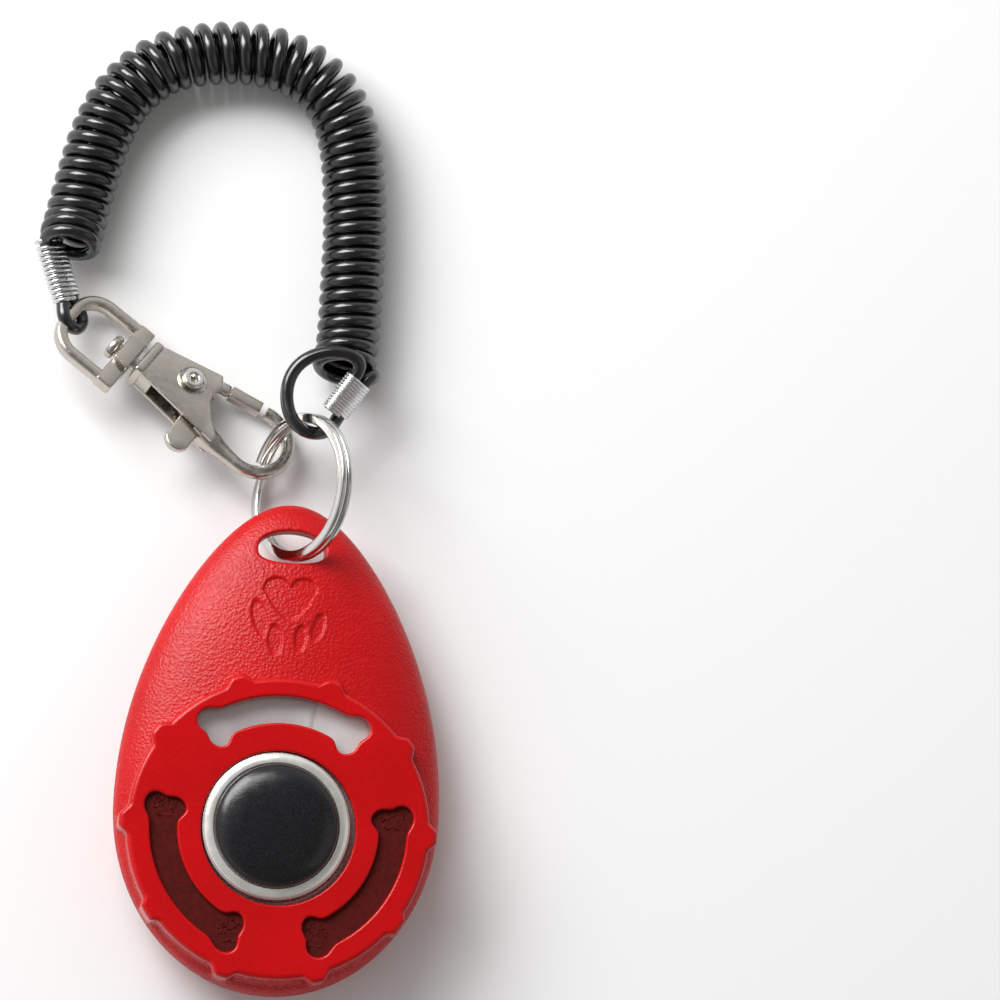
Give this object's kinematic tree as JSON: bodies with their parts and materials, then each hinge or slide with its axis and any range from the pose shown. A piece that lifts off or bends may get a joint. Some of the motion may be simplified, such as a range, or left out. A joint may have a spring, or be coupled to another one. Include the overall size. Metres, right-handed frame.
{
  "type": "clicker trainer",
  "caption": "Egg-shaped training clicker with a push button over a sprung metal plate, hung on a split ring with a curly wrist coil and a swivel clasp.",
  "frame": {"origin": "on the back's flat rest face, under the middle of the round platform", "axes": "+Z out of the front through the button, +Y toward the eyelet, +X to the right seen from the front"},
  "size_m": [0.0597, 0.1315, 0.0177],
  "materials": {
    "red_plastic": "fine leather grain, semi-gloss",
    "red_plastic_back": "smooth, semi-gloss",
    "spring_steel": "rolled, satin",
    "black_button": "fine texture, glossy",
    "retainer_steel": "stamped",
    "screw_steel": "zinc plated",
    "ring_steel": "bright nickel plate",
    "nickel_plate": "tumbled nickel plate",
    "nickel_trigger": "tumbled nickel plate",
    "nickel_rivet": "bright",
    "spring_wire": "drawn wire",
    "nickel_eye": "tumbled nickel plate",
    "nickel_post": "turned",
    "black_cord": "glossy extruded",
    "sleeve_wire": "wound bright wire"
  },
  "bodies": {
    "clicker": {"front_shell": "red_plastic", "back_shell": "red_plastic_back", "click_plate": "spring_steel", "case_screw_1": "screw_steel", "case_screw_2": "screw_steel", "case_screw_3": "screw_steel"},
    "button": {"button": "black_button", "button_retainer": "retainer_steel"},
    "ring": {"split_ring": "ring_steel"},
    "lanyard": {"wrist_coil": "black_cord", "ring_sleeve": "sleeve_wire", "ring_loop": "black_cord", "eye_sleeve": "sleeve_wire", "eye_loop": "black_cord", "swivel_eye": "nickel_eye"},
    "clasp": {"clasp_body": "nickel_plate", "clasp_rivet": "nickel_rivet", "trigger_spring": "spring_wire", "swivel_post": "nickel_post"},
    "trigger": {"clasp_trigger": "nickel_trigger"}
  },
  "joints": [
    {"name": "button_press", "type": "slide", "parent": "clicker", "child": "button", "axis": [0, 0, -1], "range_m": [0, 0.0012], "stiffness_N_per_m": 2500, "deforming": ["click_plate"]},
    {"name": "ring_swing", "type": "hinge", "parent": "clicker", "child": "ring", "pos_m": [0.00075, 0.0378, 0.0065], "axis": [0, 0, 1], "range_deg": [-14, 14]},
    {"name": "lanyard_swing", "type": "hinge", "parent": "ring", "child": "lanyard", "pos_m": [0.00075, 0.04625, 0.009], "axis": [0.8192, 0, -0.5736], "range_deg": [0, 30]},
    {"name": "clasp_swivel", "type": "hinge", "parent": "lanyard", "child": "clasp", "pos_m": [-0.01619, 0.05769, 0.00455], "axis": [0.809, -0.5878, 0], "range_deg": [-18, 8]},
    {"name": "gate_open", "type": "hinge", "parent": "clasp", "child": "trigger", "pos_m": [-0.0148, 0.0596, 0.00345], "axis": [-0.2484, -0.3419, -0.9063], "range_deg": [0, 25], "stiffness_Nm_per_rad": 0.06, "springref_deg": -17.19}
  ]
}
